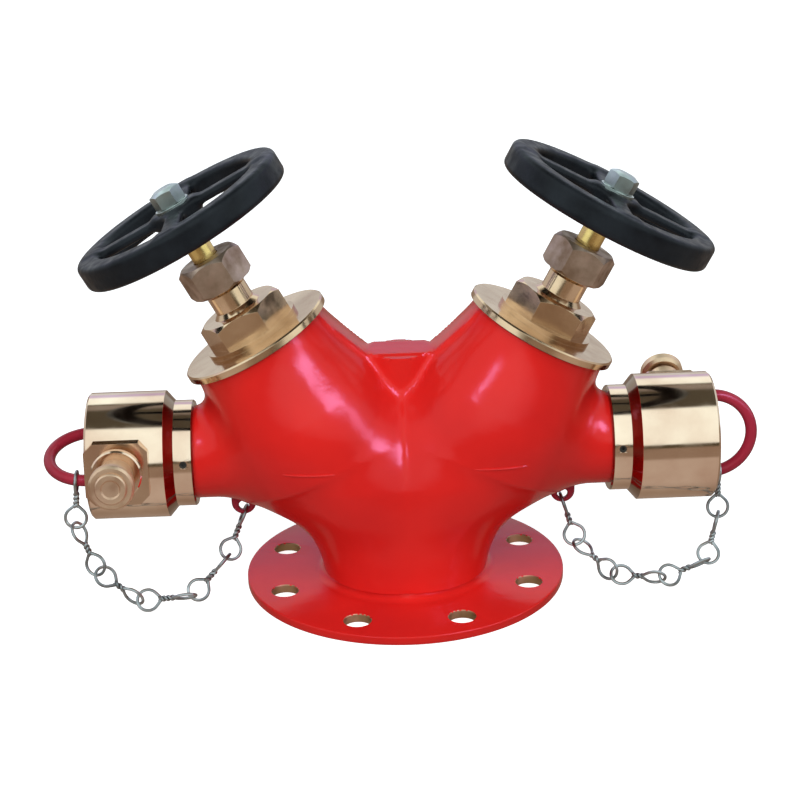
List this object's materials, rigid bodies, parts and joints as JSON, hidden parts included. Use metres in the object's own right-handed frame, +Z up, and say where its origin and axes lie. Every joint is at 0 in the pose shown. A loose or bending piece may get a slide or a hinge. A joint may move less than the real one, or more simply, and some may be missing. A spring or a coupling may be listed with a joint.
{
  "type": "double hydrant valve",
  "caption": "Flanged inlet with two oblique handwheel globe valves, each feeding a sprung-lug hose outlet closed by a chained blank cap.",
  "frame": {"origin": "centre of the inlet flange's lower face", "axes": "+Z up along the inlet, +X towards the right outlet, the viewer at -Y"},
  "size_m": [0.488, 0.22, 0.3022],
  "materials": {
    "red_paint": "gloss enamel on cast gunmetal",
    "gunmetal": "machined",
    "polished_gunmetal": "turned and polished",
    "dull_gunmetal": "cast and turned, dull",
    "bronze": "turned, a little tarnished",
    "brass": "turned",
    "black_iron": "black enamel on cast iron",
    "zinc_steel": "zinc plated",
    "dark_steel": "blackened",
    "spring_steel": "drawn wire",
    "chain_steel": "drawn wire, dull zinc",
    "maroon_paint": "maroon enamel",
    "rubber": "moulded",
    "gasket_fibre": "pressed fibre",
    "packing_rope": "greased rope rings"
  },
  "bodies": {
    "valve_casting": {"valve_body": "red_paint", "left_seat_ring": "gunmetal", "left_bonnet": "bronze", "left_bonnet_gasket": "gasket_fibre", "left_gland_packing": "packing_rope", "left_gland_follower": "brass", "left_gland_nut": "bronze", "left_coupling": "polished_gunmetal", "left_coupling_screw": "dark_steel", "left_coupling_seal": "rubber", "left_lug_housing": "dull_gunmetal", "left_lug_spring": "spring_steel", "left_chain": "chain_steel", "right_seat_ring": "gunmetal", "right_bonnet": "bronze", "right_bonnet_gasket": "gasket_fibre", "right_gland_packing": "packing_rope", "right_gland_follower": "brass", "right_gland_nut": "bronze", "right_coupling": "polished_gunmetal", "right_coupling_screw": "dark_steel", "right_coupling_seal": "rubber", "right_lug_housing": "dull_gunmetal", "right_lug_spring": "spring_steel", "right_chain": "chain_steel"},
    "left_disc_unit": {"left_valve_disc": "gunmetal", "left_seat_washer": "rubber", "left_washer_plate": "gunmetal", "left_washer_nut": "brass", "left_disc_lock_nut": "gunmetal"},
    "left_spindle_unit": {"left_spindle": "brass", "left_handwheel": "black_iron", "left_wheel_washer": "zinc_steel", "left_wheel_nut": "zinc_steel"},
    "left_lug_unit": {"left_lug_plunger": "brass", "left_lug_knob": "dull_gunmetal"},
    "left_cap_unit": {"left_blank_cap": "maroon_paint"},
    "right_disc_unit": {"right_valve_disc": "gunmetal", "right_seat_washer": "rubber", "right_washer_plate": "gunmetal", "right_washer_nut": "brass", "right_disc_lock_nut": "gunmetal"},
    "right_spindle_unit": {"right_spindle": "brass", "right_handwheel": "black_iron", "right_wheel_washer": "zinc_steel", "right_wheel_nut": "zinc_steel"},
    "right_lug_unit": {"right_lug_plunger": "brass", "right_lug_knob": "dull_gunmetal"},
    "right_cap_unit": {"right_blank_cap": "maroon_paint"}
  },
  "joints": [
    {"name": "left_valve_lift", "type": "slide", "parent": "valve_casting", "child": "left_disc_unit", "axis": [-0.4756, 0, 0.8796], "range_m": [0, 0.024]},
    {"name": "left_wheel_turn", "type": "hinge", "parent": "left_disc_unit", "child": "left_spindle_unit", "pos_m": [-0.14174, 0, 0.26214], "axis": [-0.4756, 0, 0.8796], "range_deg": [0, 1720]},
    {"name": "left_lug_pull", "type": "slide", "parent": "valve_casting", "child": "left_lug_unit", "axis": [0, -0.9962, 0.0872], "range_m": [0, 0.006], "stiffness_N_per_m": 1500, "springref_m": -0.004, "deforming": ["left_lug_spring"]},
    {"name": "left_cap_turn", "type": "hinge", "parent": "valve_casting", "child": "left_cap_unit", "pos_m": [-0.19, 0, 0.096], "axis": [-1, 0, 0], "range_deg": [-40, 40], "deforming": ["left_chain"]},
    {"name": "right_valve_lift", "type": "slide", "parent": "valve_casting", "child": "right_disc_unit", "axis": [0.4756, 0, 0.8796], "range_m": [0, 0.024]},
    {"name": "right_wheel_turn", "type": "hinge", "parent": "right_disc_unit", "child": "right_spindle_unit", "pos_m": [0.14174, 0, 0.26214], "axis": [0.4756, 0, 0.8796], "range_deg": [0, 1720]},
    {"name": "right_lug_pull", "type": "slide", "parent": "valve_casting", "child": "right_lug_unit", "axis": [0, 0.9563, 0.2924], "range_m": [0, 0.006], "stiffness_N_per_m": 1500, "springref_m": -0.004, "deforming": ["right_lug_spring"]},
    {"name": "right_cap_turn", "type": "hinge", "parent": "valve_casting", "child": "right_cap_unit", "pos_m": [0.19, 0, 0.096], "axis": [1, 0, 0], "range_deg": [-40, 40], "deforming": ["right_chain"]}
  ],
  "couplings": [
    {"joint": "left_valve_lift", "follows": "left_wheel_turn", "m_per_rad": 0.00079577},
    {"joint": "right_valve_lift", "follows": "right_wheel_turn", "m_per_rad": 0.00079577}
  ]
}
